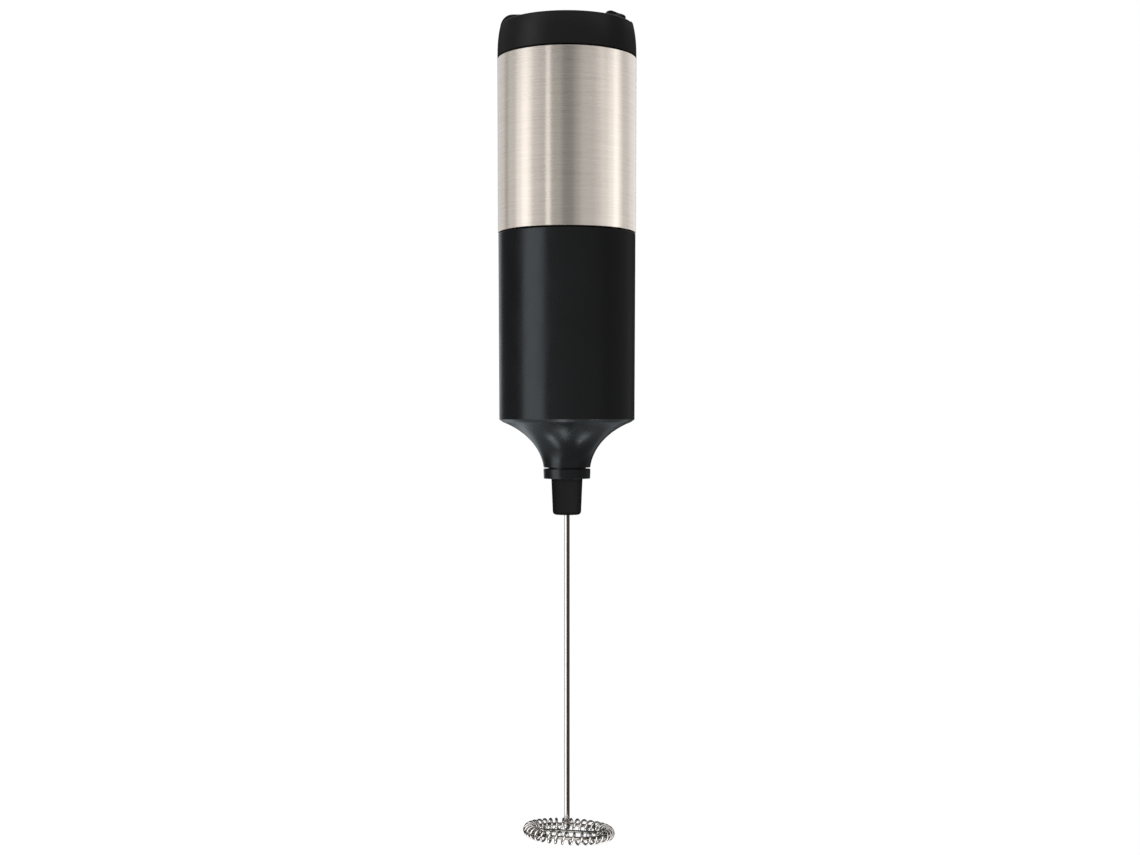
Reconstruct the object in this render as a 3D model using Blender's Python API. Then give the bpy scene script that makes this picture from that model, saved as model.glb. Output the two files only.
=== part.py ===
"""Battery milk frother: a slim round handle, a long steel rod and a coiled-wire whisk ring.

Run with: blender --background --python part.py

Frame: +Z runs up the handle's axis and the whisk points down. The origin is on the axis, at the
seam between the steel battery cover and the black motor housing, which is the middle of the grip.
The switch on the cap slides along X. Every size below is in millimetres; MM turns it into metres.
"""

import math

import bmesh
import bpy
from mathutils import Matrix, Vector

MM = 0.001
GAP = 0.3
ROUND = 48
SMALL_ROUND = 24

# Handle
HOUSING_TOP_R = 17.85
HOUSING_RIM_R = 17.6
HOUSING_RIM_Z = -48.85
HOUSING_RIM_EDGE = 0.7
HOUSING_BORE = 16.0
SLEEVE_BOTTOM_R = 17.95
SLEEVE_TOP_R = 18.1
SLEEVE_WALL = 0.5
COVER_SEAM = 45.4
LINER_BORE = 15.75

# Flare under the housing: a quarter of an ellipse, hollow side out
FLARE_CENTRE_R = 25.6
FLARE_CENTRE_Z = -62.24
FLARE_HALF_WIDTH = 19.6
FLARE_HALF_HEIGHT = 14.75
FLARE_WALL = 1.7
NOSE_Z = -60.9
NOSE_BORE = 5.2
SEAL_POCKET_R = 4.5
SEAL_POCKET_Z = (-57.6, -54.6)
INNER_CONE_TOP = -46.9
COLLAR_R = 6.12
COLLAR_BOTTOM = -63.8
COLLAR_BORE = 4.4

# Cap, with a raised rail across it that the switch slides in
CAP_TOP = 54.1
CAP_TOP_R = 17.4
CAP_ROOF = 52.4
CAP_BORE = 16.0
RAIL_TOP = 56.2
RAIL_HALF_WIDTH = 4.3
RAIL_ROOF = 54.7
RAIL_SHOULDER_R = 3.2
RAIL_SHOULDER_H = 2.5
RAIL_SLOPE_START = 14.4
TRACK_FLOOR = 55.5
TRACK_HALF_WIDTH = 2.6
TRACK_START = 5.0
SLOT_HALF_WIDTH = 1.2
SWITCH_TRAVEL = 4.5
KNOB_LEFT = 10.0
KNOB_RIGHT = 15.3
KNOB_TOP = 57.7
KNOB_HALF_WIDTH = 2.3
STEM_X = 12.6
STEM_HALF_LENGTH = 1.0
FOOT_Z = (53.7, 54.4)
BRIDGE_Z = (53.1, 53.4)
CAP_CONTACT_TOP = 52.8
CAP_CONTACT_Z = (50.9, 51.2)

# Two AA cells side by side, one of them upside down
CELL_R = 7.0
CELL_LENGTH = 50.0
CELL_X = 7.2
CELL_UP_Z = 0.5
CELL_DOWN_Z = -1.3
CRADLE_FLOOR = -2.4
CRADLE_BASE = -4.2
SPIGOT_R = 15.4
SPIGOT_TOP = 8.0
LOWER_CONTACT_END = -6.0

# Motor
MOTOR_R = 10.2
MOTOR_TOP = -21.0
MOTOR_BOTTOM = -45.4
MOTOR_WALL = 0.7
SHAFT_R = 1.0
SHAFT_TOP = -19.3
END_BELL_TOP = -18.0
END_BELL_LID = -19.2
END_BELL_BOTTOM = -23.5
SHAFT_END = -70.1
BUSH_R = 2.1
MAGNET_R = 9.2
MAGNET_BORE = 7.6
ARMATURE_R = 7.2
ARMATURE_Z = (-40.5, -30.5)
ARM_HALF_WIDTH = 1.2
POLES = 3
COMMUTATOR_R = 2.5
COMMUTATOR_Z = (-28.0, -24.0)
BRUSH_Z = (-25.6, -25.2)
TAB_X = 6.5
TAB_TOP = -16.8

# Whisk
HUB_TOP = -61.9
HUB_R = 4.06
HUB_END_R = 3.7
HUB_END = -73.2
ROD_R = 0.725
ROD_TOP = -70.9
RING_CENTRE = Vector((0.5, 0.0, -155.7))
RING_TILT_X = -3.5
RING_TILT_Y = 2.8
RING_R = 10.2
COIL_R = 1.45
COIL_WIRE_R = 0.28
COIL_TURNS = 34
HOOP_WIRE_R = 0.45
BAR_R = 0.4

RUNNING_R = SHAFT_R + GAP


# Tools


def clear_scene():
    for old in list(bpy.data.objects):
        bpy.data.objects.remove(old, do_unlink=True)


def material(name, colour, roughness, metallic=0.0):
    made = bpy.data.materials.new(name)
    made.use_nodes = True
    shader = made.node_tree.nodes["Principled BSDF"]
    shader.inputs["Base Color"].default_value = (*colour, 1.0)
    shader.inputs["Roughness"].default_value = roughness
    shader.inputs["Metallic"].default_value = metallic
    made.diffuse_color = (*colour, 1.0)
    return made


def place(name, bm, surface, smooth_degrees=35):
    """Turns a bmesh drawn in millimetres into a named object in metres."""
    bmesh.ops.remove_doubles(bm, verts=bm.verts, dist=1e-4)
    bmesh.ops.recalc_face_normals(bm, faces=bm.faces)
    bm.transform(Matrix.Scale(MM, 4))
    mesh = bpy.data.meshes.new(name)
    bm.to_mesh(mesh)
    bm.free()
    mesh.shade_smooth()
    mesh.set_sharp_from_angle(angle=math.radians(smooth_degrees))
    mesh.materials.append(surface)
    made = bpy.data.objects.new(name, mesh)
    bpy.context.scene.collection.objects.link(made)
    return made


def arc(centre, radii, start, end, steps):
    """Points on an ellipse's arc, from one angle in degrees to another."""
    points = []
    for i in range(steps + 1):
        angle = math.radians(start + (end - start) * i / steps)
        points.append((centre[0] + radii[0] * math.cos(angle), centre[1] + radii[1] * math.sin(angle)))
    return points


def polar(radius, degrees):
    angle = math.radians(degrees)
    return radius * math.cos(angle), radius * math.sin(angle)


def lathe(name, outline, surface, segments=ROUND, axis_x=0.0):
    """A closed outline of (radius, height) turned about a vertical axis."""
    bm = bmesh.new()
    verts = [bm.verts.new((axis_x + r, 0.0, z)) for r, z in outline]
    edges = [bm.edges.new((a, b)) for a, b in zip(verts, verts[1:] + verts[:1])]
    bmesh.ops.spin(
        bm, geom=verts + edges, cent=(axis_x, 0.0, 0.0), axis=(0.0, 0.0, 1.0),
        angle=math.tau, steps=segments,
    )
    return place(name, bm, surface)


def extrude(name, outline, low, high, surface, along="z"):
    """A flat outline pushed from low to high, along Z from an XY outline or along Y from an XZ one."""
    bm = bmesh.new()
    if along == "z":
        verts = [bm.verts.new((x, y, low)) for x, y in outline]
        push = (0.0, 0.0, high - low)
    else:
        verts = [bm.verts.new((x, low, z)) for x, z in outline]
        push = (0.0, high - low, 0.0)
    made = bmesh.ops.extrude_face_region(bm, geom=[bm.faces.new(verts)])
    moved = [item for item in made["geom"] if isinstance(item, bmesh.types.BMVert)]
    bmesh.ops.translate(bm, verts=moved, vec=push)
    return place(name, bm, surface)


def block(name, low, high, surface):
    """A box between two corners."""
    outline = [(low[0], low[1]), (high[0], low[1]), (high[0], high[1]), (low[0], high[1])]
    return extrude(name, outline, low[2], high[2], surface)


def combine(target, tool, operation):
    """Adds, removes or keeps a tool's volume, and leaves the tool out of the model."""
    change = target.modifiers.new(operation.lower(), "BOOLEAN")
    change.operation = operation
    change.object = tool
    tool.hide_render = True
    tool.display_type = "WIRE"


def bevel(target, width, segments=2):
    change = target.modifiers.new("edges", "BEVEL")
    change.width = width * MM
    change.segments = segments
    change.limit_method = "ANGLE"


def wire(name, points, radius, surface, smooth=True):
    """A round wire with closed ends along a list of points."""
    curve = bpy.data.curves.new(name, "CURVE")
    curve.dimensions = "3D"
    curve.bevel_depth = radius * MM
    curve.bevel_resolution = 2
    curve.use_fill_caps = True
    curve.resolution_u = 4
    if smooth:
        line = curve.splines.new("BEZIER")
        line.bezier_points.add(len(points) - 1)
        for knot, point in zip(line.bezier_points, points):
            knot.co = Vector(point) * MM
            knot.handle_left_type = "AUTO"
            knot.handle_right_type = "AUTO"
    else:
        line = curve.splines.new("POLY")
        line.points.add(len(points) - 1)
        for knot, point in zip(line.points, points):
            knot.co = (*(Vector(point) * MM), 1.0)
    curve.materials.append(surface)
    made = bpy.data.objects.new(name, curve)
    bpy.context.scene.collection.objects.link(made)
    return made


def ring_matrix():
    """From the whisk ring's own frame, in which it lies flat round the origin, to its place."""
    roll = Matrix.Rotation(math.radians(RING_TILT_X), 4, "X")
    tilt = Matrix.Rotation(math.radians(RING_TILT_Y), 4, "Y")
    return Matrix.Translation(RING_CENTRE * MM) @ tilt @ roll


# Housing


def flare_point(turn):
    """A point of the flare's outer ellipse; turn runs from 90 at the top to 0 at the neck."""
    angle = math.radians(turn)
    radius = FLARE_CENTRE_R - FLARE_HALF_WIDTH * math.cos(angle)
    return radius, FLARE_CENTRE_Z + FLARE_HALF_HEIGHT * math.sin(angle)


def flare_turn_at_height(z):
    return math.degrees(math.asin((z - FLARE_CENTRE_Z) / FLARE_HALF_HEIGHT))


def make_lower_housing(plastic):
    rim = arc(
        (HOUSING_RIM_R - HOUSING_RIM_EDGE, HOUSING_RIM_Z + HOUSING_RIM_EDGE),
        (HOUSING_RIM_EDGE, HOUSING_RIM_EDGE), 0, -70, 2,
    )
    top_turn = 62.0
    end_turn = flare_turn_at_height(NOSE_Z)
    steps = 8
    flare = [flare_point(top_turn + (end_turn - top_turn) * i / steps) for i in range(steps + 1)]
    inner = []
    for z in (SEAL_POCKET_Z[1], -51.5):
        inner.append((flare_point(flare_turn_at_height(z))[0] - FLARE_WALL, z))
    outline = [(HOUSING_TOP_R, -GAP / 2), *rim, *flare]
    outline += [(NOSE_BORE, NOSE_Z), (NOSE_BORE, SEAL_POCKET_Z[0])]
    outline += [(SEAL_POCKET_R, z) for z in SEAL_POCKET_Z]
    outline += [*inner, (HOUSING_BORE, INNER_CONE_TOP), (HOUSING_BORE, -GAP / 2)]
    return lathe("lower_housing", outline, plastic)


def make_nose_collar(plastic):
    """A ring on a spigot that is pressed into the end of the housing."""
    top = NOSE_Z - GAP
    spigot_top = SEAL_POCKET_Z[0] - 0.4
    edge = 0.15
    end_r = COLLAR_R - 0.07
    outline = [
        (COLLAR_BORE, spigot_top), (NOSE_BORE - GAP, spigot_top), (NOSE_BORE - GAP, top),
        (COLLAR_R - edge, top), (COLLAR_R, top - edge), (end_r, COLLAR_BOTTOM + edge),
        (end_r - edge, COLLAR_BOTTOM), (COLLAR_BORE, COLLAR_BOTTOM),
    ]
    return lathe("nose_collar", outline, plastic)


def make_shaft_seal(rubber):
    """A rubber washer whose lip slopes down to the shaft and keeps milk out of the motor."""
    outer = SEAL_POCKET_R - GAP
    low = SEAL_POCKET_Z[0] + GAP
    lip = low + 0.8
    outline = [
        (RUNNING_R, lip + 0.5), (outer, low + 2.3), (outer, low), (outer - 0.8, low),
        (2.4, lip), (RUNNING_R, lip),
    ]
    return lathe("shaft_seal", outline, rubber, SMALL_ROUND)


# Battery compartment


def make_battery_cradle(plastic):
    outline = [
        (0.0, CRADLE_BASE), (HOUSING_BORE - GAP, CRADLE_BASE), (HOUSING_BORE - GAP, -GAP),
        (SPIGOT_R, GAP), (SPIGOT_R, SPIGOT_TOP), (SPIGOT_R - 0.9, SPIGOT_TOP),
        (SPIGOT_R - 0.9, CRADLE_FLOOR), (0.0, CRADLE_FLOOR),
    ]
    cradle = lathe("battery_cradle", outline, plastic)
    rib_half_width = 2.2
    rib_top = 40.0
    rib_reach = (6.3, 14.8)
    for name, side in (("tool_front_rib", -1), ("tool_back_rib", 1)):
        low_y, high_y = sorted((side * rib_reach[0], side * rib_reach[1]))
        low = (-rib_half_width, low_y, CRADLE_FLOOR - 0.6)
        rib = block(name, low, (rib_half_width, high_y, rib_top), plastic)
        combine(cradle, rib, "UNION")
    below, above = CRADLE_BASE - 0.8, CRADLE_FLOOR + 1.4
    spring_hole = block("tool_spring_hole", (-4.0, -0.8, below), (-2.4, 0.8, above), plastic)
    plate_slot = block("tool_plate_slot", (2.8, -2.2, below), (4.0, 2.2, above), plastic)
    combine(cradle, spring_hole, "DIFFERENCE")
    combine(cradle, plate_slot, "DIFFERENCE")
    return cradle


def make_cell(name, axis_x, base_z, upright, metal):
    """One AA cell: a can with a button at its positive end."""
    nub_r = 2.75
    nub_height = 1.2
    edge = 0.5
    shoulder = CELL_LENGTH - nub_height
    outline = [
        (0.0, 0.0), (CELL_R - edge, 0.0), (CELL_R, edge), (CELL_R, shoulder - edge),
        (CELL_R - edge, shoulder), (nub_r, shoulder), (nub_r, CELL_LENGTH), (0.0, CELL_LENGTH),
    ]
    if not upright:
        outline = [(r, CELL_LENGTH - z) for r, z in outline]
    outline = [(r, base_z + z) for r, z in outline]
    return lathe(name, outline, metal, SMALL_ROUND, axis_x)


def make_lower_spring(steel):
    """The negative contact: a cone spring whose lower end goes down through the cradle."""
    wide, narrow = 4.0, 2.2
    turns = 2.5
    steps = 25
    low, high = CRADLE_FLOOR + 0.7, CELL_UP_Z - 0.7
    tail_x = wide - CELL_X
    points = [(tail_x, 0.0, LOWER_CONTACT_END), (tail_x, 0.0, LOWER_CONTACT_END + 2.0)]
    for i in range(steps + 1):
        part = i / steps
        angle = math.tau * turns * part
        radius = wide + (narrow - wide) * part
        height = low + (high - low) * part
        points.append((-CELL_X + radius * math.cos(angle), radius * math.sin(angle), height))
    return wire("lower_spring_contact", points, 0.3, steel, smooth=False)


def make_lower_plate(metal):
    """The positive contact: an angle of sheet metal with its tail down through the cradle."""
    sheet = 0.4
    half_width = 1.8
    left, right = 3.2, 11.2
    top = CELL_DOWN_Z - GAP
    outline = [
        (left, LOWER_CONTACT_END), (left + sheet, LOWER_CONTACT_END), (left + sheet, top - sheet),
        (right, top - sheet), (right, top), (left, top),
    ]
    return extrude("lower_plate_contact", outline, -half_width, half_width, metal, along="y")


# Battery cover: steel sleeve, liner, cap, contacts and switch


def make_steel_sleeve(steel):
    low, high = GAP / 2, COVER_SEAM - GAP / 2
    outline = [
        (SLEEVE_TOP_R, high), (SLEEVE_BOTTOM_R, low),
        (SLEEVE_BOTTOM_R - SLEEVE_WALL, low), (SLEEVE_BOTTOM_R - SLEEVE_WALL, high),
    ]
    return lathe("steel_sleeve", outline, steel)


def make_sleeve_liner(plastic):
    low, high = GAP / 2, COVER_SEAM - GAP / 2
    outer = SLEEVE_BOTTOM_R - SLEEVE_WALL - GAP
    lead_in = 0.5
    outline = [
        (outer, high), (outer, low), (LINER_BORE + lead_in, low), (LINER_BORE, low + lead_in),
        (LINER_BORE, high),
    ]
    return lathe("sleeve_liner", outline, plastic)


def make_top_cap(plastic):
    """The closed end of the cover, with the switch's track and slot cut into its rail."""
    bottom = COVER_SEAM + GAP / 2
    rim_edge = 0.5
    rim = arc((CAP_TOP_R - rim_edge, CAP_TOP - rim_edge), (rim_edge, rim_edge), 90, 0, 3)
    wall = [(CAP_TOP_R + 0.42, CAP_TOP - 2.6), (SLEEVE_TOP_R, bottom + 2.4), (SLEEVE_TOP_R, bottom)]
    outline = [(0.0, CAP_TOP), *rim, *wall, (CAP_BORE, bottom), (CAP_BORE, CAP_ROOF), (0.0, CAP_ROOF)]
    cap = lathe("top_cap", outline, plastic)
    combine(cap, make_rail_solid(plastic), "UNION")
    hollow = block("tool_rail_hollow", (-13.0, -2.9, CAP_ROOF - 1.0), (15.0, 2.9, RAIL_ROOF), plastic)
    combine(cap, hollow, "DIFFERENCE")
    track = block(
        "tool_track", (TRACK_START, -TRACK_HALF_WIDTH, TRACK_FLOOR),
        (SLEEVE_TOP_R + 1.0, TRACK_HALF_WIDTH, RAIL_TOP + 1.0), plastic,
    )
    combine(cap, track, "DIFFERENCE")
    slot_reach = STEM_HALF_LENGTH + GAP
    slot = block(
        "tool_slot", (STEM_X - SWITCH_TRAVEL - slot_reach, -SLOT_HALF_WIDTH, RAIL_ROOF - 1.0),
        (STEM_X + slot_reach, SLOT_HALF_WIDTH, RAIL_TOP), plastic,
    )
    combine(cap, slot, "DIFFERENCE")
    return cap


def make_rail_solid(plastic):
    """The rail: a bar across the cap that rounds over at one end and slopes down behind the knob."""
    overlap = 0.9
    reach = SLEEVE_TOP_R + 1.0
    bar = block(
        "tool_rail_bar", (-reach, -RAIL_HALF_WIDTH, CAP_TOP - overlap),
        (reach, RAIL_HALF_WIDTH, RAIL_TOP), plastic,
    )
    bevel(bar, 0.45)
    end_r = CAP_TOP_R - 0.07
    centre = (end_r - RAIL_SHOULDER_R, RAIL_TOP - RAIL_SHOULDER_H)
    shoulder = arc(centre, (RAIL_SHOULDER_R, RAIL_SHOULDER_H), 90, 0, 8)
    low = CAP_TOP - overlap - 0.1
    dome = lathe("tool_rail_dome", [(0.0, RAIL_TOP), *shoulder, (end_r, low), (0.0, low)], plastic)
    combine(bar, dome, "INTERSECT")
    above = RAIL_TOP + 1.0
    start = RAIL_SLOPE_START
    slope = [
        (start, above), (start, RAIL_TOP - 0.05), (start + 0.8, RAIL_TOP - 1.1),
        (start + 2.0, RAIL_TOP - 1.9), (reach + 1.0, RAIL_TOP - 2.6), (reach + 1.0, above),
    ]
    side = RAIL_HALF_WIDTH + 1.0
    cut = extrude("tool_rail_slope", slope, -side, side, plastic, along="y")
    combine(bar, cut, "DIFFERENCE")
    return bar


def make_switch_knob(plastic):
    """A ridge for the thumb with a sloping back, on a stem whose foot lies under the rail's roof."""
    base = TRACK_FLOOR + GAP
    crest = arc((KNOB_LEFT + 1.1, KNOB_TOP - 0.7), (0.8, 0.7), 180, 40, 4)
    outline = [(KNOB_LEFT, base), *crest, (KNOB_RIGHT - 1.0, KNOB_TOP - 1.1), (KNOB_RIGHT, base)]
    knob = extrude("switch_knob", outline, -KNOB_HALF_WIDTH, KNOB_HALF_WIDTH, plastic, along="y")
    stem = block(
        "tool_stem", (STEM_X - STEM_HALF_LENGTH, -0.9, FOOT_Z[0] + 0.3),
        (STEM_X + STEM_HALF_LENGTH, 0.9, base + 0.2), plastic,
    )
    foot = block("tool_foot", (STEM_X - 1.8, -2.2, FOOT_Z[0]), (STEM_X + 1.8, 2.2, FOOT_Z[1]), plastic)
    combine(knob, stem, "UNION")
    combine(knob, foot, "UNION")
    return knob


def make_switch_bridge(copper):
    """The sliding contact that the knob's foot carries."""
    half = 2.0
    low = (STEM_X - half, -half, BRIDGE_Z[0])
    high = (STEM_X + half, half, BRIDGE_Z[1])
    return block("switch_bridge", low, high, copper)


def make_cap_contacts(metal):
    """Two strips that the switch bridge joins; one rests on each cell."""
    low, high = CAP_CONTACT_Z
    end = 9.0
    tongue = [(end, low), (end, CAP_CONTACT_TOP), (end - 0.4, CAP_CONTACT_TOP), (end - 0.4, high)]
    long_strip = [(-11.0, low), *tongue, (-11.0, high)]
    spring_z = CELL_DOWN_Z + CELL_LENGTH + GAP
    sprung_strip = [
        (4.0, spring_z), (end, spring_z), (end, spring_z + 0.3), (4.3, spring_z + 0.3), (4.3, low),
        *tongue, (4.0, high),
    ]
    return [
        extrude("cap_contact_positive", long_strip, -2.2, -0.6, metal, along="y"),
        extrude("cap_contact_negative", sprung_strip, 0.6, 2.2, metal, along="y"),
    ]


# Motor


def make_motor_can(steel):
    bore = MOTOR_R - MOTOR_WALL
    boss_r, pocket_r = 3.3, BUSH_R + GAP
    boss_z = MOTOR_BOTTOM - 1.6
    edge = 0.8
    outline = [
        (MOTOR_R, MOTOR_TOP), (MOTOR_R, MOTOR_BOTTOM + edge), (MOTOR_R - edge, MOTOR_BOTTOM),
        (boss_r, MOTOR_BOTTOM), (boss_r, boss_z), (pocket_r, boss_z),
        (pocket_r, MOTOR_BOTTOM + MOTOR_WALL), (bore, MOTOR_BOTTOM + MOTOR_WALL), (bore, MOTOR_TOP),
    ]
    return lathe("motor_can", outline, steel, 36)


def make_motor_end_bell(plastic):
    """The plastic lid of the motor: it holds the rear bush and the two brush arms."""
    plug_r = MOTOR_R - MOTOR_WALL - GAP
    pocket_r = BUSH_R + GAP
    boss_r = 3.4
    outline = [
        (MOTOR_R, END_BELL_LID), (MOTOR_R, MOTOR_TOP + GAP), (plug_r, MOTOR_TOP + GAP),
        (plug_r, END_BELL_BOTTOM), (pocket_r, END_BELL_BOTTOM), (pocket_r, END_BELL_TOP),
        (boss_r, END_BELL_TOP), (boss_r, END_BELL_LID),
    ]
    bell = lathe("motor_end_bell", outline, plastic, 36)
    for side, name in ((-1, "tool_slot_negative"), (1, "tool_slot_positive")):
        middle = side * TAB_X
        low = (middle - 0.6, -1.4, END_BELL_BOTTOM - 1.0)
        slot = block(name, low, (middle + 0.6, 1.4, END_BELL_TOP + 1.0), plastic)
        combine(bell, slot, "DIFFERENCE")
    return bell


def make_bushes(bronze):
    for name, low, high in (("front_bush", -47.3, -44.0), ("rear_bush", -22.5, -18.6)):
        outline = [(RUNNING_R, high), (BUSH_R, high), (BUSH_R, low), (RUNNING_R, low)]
        lathe(name, outline, bronze, SMALL_ROUND)


def make_magnets(ferrite):
    half_angle = 62.0
    steps = 10
    for name, middle in (("magnet_front", -90.0), ("magnet_back", 90.0)):
        first, last = middle - half_angle, middle + half_angle
        outline = arc((0.0, 0.0), (MAGNET_R, MAGNET_R), first, last, steps)
        outline += arc((0.0, 0.0), (MAGNET_BORE, MAGNET_BORE), last, first, steps)
        extrude(name, outline, -42.5, -26.0, ferrite)


def make_armature_core(iron):
    """A stack of plates with three T-shaped poles."""
    shoe_r = 5.8
    hub_r = 2.6
    shoe_half_angle = 48.0
    root = math.degrees(math.asin(ARM_HALF_WIDTH / hub_r))
    tip = math.degrees(math.asin(ARM_HALF_WIDTH / shoe_r))
    outline = []
    for pole in range(POLES):
        middle = 360.0 * pole / POLES
        first, last = middle - shoe_half_angle, middle + shoe_half_angle
        outline += [polar(hub_r, middle - root), polar(shoe_r, middle - tip), polar(shoe_r, first)]
        outline += arc((0.0, 0.0), (ARMATURE_R, ARMATURE_R), first, last, 8)
        outline += [polar(shoe_r, last), polar(shoe_r, middle + tip), polar(hub_r, middle + root)]
    core = extrude("armature_core", outline, ARMATURE_Z[0], ARMATURE_Z[1], iron)
    low, high = ARMATURE_Z[0] - 1.0, ARMATURE_Z[1] + 1.0
    bore_outline = [(0.0, high), (RUNNING_R, high), (RUNNING_R, low), (0.0, low)]
    bore = lathe("tool_core_bore", bore_outline, iron, SMALL_ROUND)
    combine(core, bore, "DIFFERENCE")
    return core


def make_windings(copper):
    """One coil round the arm of each pole."""
    hole = ARM_HALF_WIDTH + GAP
    thick = 1.0
    inner_r, outer_r = 3.1, 4.6
    low, high = ARMATURE_Z[0] - GAP, ARMATURE_Z[1] + GAP
    for pole in range(POLES):
        name = f"winding_{pole + 1}"
        low_corner = (inner_r, -hole - thick, low - thick)
        coil = block(name, low_corner, (outer_r, hole + thick, high + thick), copper)
        window = block(f"tool_window_{pole + 1}", (0.0, -hole, low), (9.0, hole, high), copper)
        turn = Matrix.Rotation(math.tau * pole / POLES, 4, "Z")
        coil.matrix_world = turn
        window.matrix_world = turn
        combine(coil, window, "DIFFERENCE")
        bevel(coil, 0.3, 1)


def make_commutator(copper):
    bottom, top = COMMUTATOR_Z
    outline = [(RUNNING_R, top), (COMMUTATOR_R, top), (COMMUTATOR_R, bottom), (RUNNING_R, bottom)]
    commutator = lathe("commutator", outline, copper, SMALL_ROUND)
    for cut in range(POLES):
        low, high = (COMMUTATOR_R - 0.7, -0.2, bottom - 1.0), (COMMUTATOR_R + 1.0, 0.2, top + 1.0)
        slot = block(f"tool_commutator_slot_{cut + 1}", low, high, copper)
        slot.matrix_world = Matrix.Rotation(math.tau * (cut + 0.5) / POLES, 4, "Z")
        combine(commutator, slot, "DIFFERENCE")
    return commutator


def make_brush_arms(metal):
    """Each arm is a soldering tab above the lid and a leaf that reaches in to the commutator."""
    tab = 0.2
    low, high = BRUSH_Z
    reach = COMMUTATOR_R + GAP
    for name, side in (("brush_arm_negative", -1), ("brush_arm_positive", 1)):
        outline = [
            (TAB_X - tab, TAB_TOP), (TAB_X + tab, TAB_TOP), (TAB_X + tab, low), (reach, low),
            (reach, high), (TAB_X - tab, high),
        ]
        extrude(name, [(side * x, z) for x, z in outline], -1.0, 1.0, metal, along="y")


def make_motor_shaft(steel):
    edge = 0.2
    outline = [
        (0.0, SHAFT_TOP), (SHAFT_R - edge, SHAFT_TOP), (SHAFT_R, SHAFT_TOP - edge),
        (SHAFT_R, SHAFT_END + edge), (SHAFT_R - edge, SHAFT_END), (0.0, SHAFT_END),
    ]
    return lathe("motor_shaft", outline, steel, 16)


def make_motor_holders(plastic):
    """Two rings that centre the motor in the housing."""
    outer, inner = HOUSING_BORE - GAP, MOTOR_R + GAP
    for name, low, high in (("front_motor_holder", -44.0, -40.0), ("rear_motor_holder", -28.0, -24.0)):
        lathe(name, [(inner, high), (outer, high), (outer, low), (inner, low)], plastic, 36)


def make_lead_wires(positive, negative):
    bend = 3.0
    for name, side, start_x, cover in (
        ("lead_wire_positive", 1, 3.4, positive),
        ("lead_wire_negative", -1, 3.2, negative),
    ):
        points = [
            (side * start_x, 0.0, LOWER_CONTACT_END - 0.9), (side * start_x, 0.0, -8.5),
            (side * (start_x + 2.5), side * bend, -11.0), (side * TAB_X, 0.5 * side * bend, -13.5),
            (side * TAB_X, 0.0, TAB_TOP + 0.8),
        ]
        wire(name, points, 0.6, cover)


# Whisk


def make_whisk_hub(plastic):
    """A tapered plug that pushes onto the end of the motor shaft; the rod is held in its other end."""
    edge = 0.9
    corner = arc((HUB_END_R - edge, HUB_END + edge), (edge, edge), 0, -90, 4)
    rod_bore = ROD_R + GAP
    outline = [
        (RUNNING_R, HUB_TOP), (HUB_R - 0.3, HUB_TOP), (HUB_R, HUB_TOP - 0.3), (HUB_R, COLLAR_BOTTOM - 0.2),
        *corner, (rod_bore, HUB_END), (rod_bore, ROD_TOP + 0.1), (RUNNING_R, ROD_TOP + 0.4),
    ]
    return lathe("whisk_hub", outline, plastic, 36)


def make_whisk_rod(steel):
    low = RING_CENTRE.z + BAR_R + GAP
    edge = 0.2
    outline = [
        (0.0, ROD_TOP), (ROD_R - edge, ROD_TOP), (ROD_R, ROD_TOP - edge),
        (ROD_R, low + edge), (ROD_R - edge, low), (0.0, low),
    ]
    return lathe("whisk_rod", outline, steel, 16)


def make_whisk_hoop(steel):
    """The wire frame that carries the coil: a circle with a bar across it, which the rod stands on."""
    section = arc((RING_R, 0.0), (HOOP_WIRE_R, HOOP_WIRE_R), 360, 45, 7)
    hoop = lathe("whisk_hoop", section, steel)
    bar_section = arc((0.0, 0.0), (BAR_R, BAR_R), 0, 315, 7)
    bar = extrude("tool_bar", bar_section, -RING_R, RING_R, steel)
    bar.matrix_world = ring_matrix() @ Matrix.Rotation(math.radians(90), 4, "Y")
    hoop.matrix_world = ring_matrix()
    combine(hoop, bar, "UNION")
    return hoop


def coil_frame(part):
    """Place, outward direction and sideways direction of the coil's wire, part of the way round the ring."""
    around = math.tau * part
    wind = math.tau * COIL_TURNS * part
    radial = Vector((math.cos(around), math.sin(around), 0.0))
    tangent = Vector((-math.sin(around), math.cos(around), 0.0))
    up = Vector((0.0, 0.0, 1.0))
    out = radial * math.cos(wind) + up * math.sin(wind)
    centre = radial * RING_R + out * COIL_R
    winding = (-radial * math.sin(wind) + up * math.cos(wind)) * COIL_R * COIL_TURNS
    along = winding + tangent * (RING_R + COIL_R * math.cos(wind))
    return centre, out, along.normalized().cross(out)


def make_whisk_coil(steel):
    """A fine wire wound round the hoop, closed into an endless ring of turns."""
    steps = COIL_TURNS * 9
    sides = 4
    bm = bmesh.new()
    loops = []
    for i in range(steps):
        centre, out, side = coil_frame(i / steps)
        loop = []
        for j in range(sides):
            angle = math.tau * (j + 0.5) / sides
            spot = centre + (out * math.cos(angle) + side * math.sin(angle)) * COIL_WIRE_R
            loop.append(bm.verts.new(spot))
        loops.append(loop)
    for this, after in zip(loops, loops[1:] + loops[:1]):
        for j in range(sides):
            k = (j + 1) % sides
            bm.faces.new((this[j], this[k], after[k], after[j]))
    coil = place("whisk_coil", bm, steel)
    coil.matrix_world = ring_matrix()
    return coil


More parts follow.
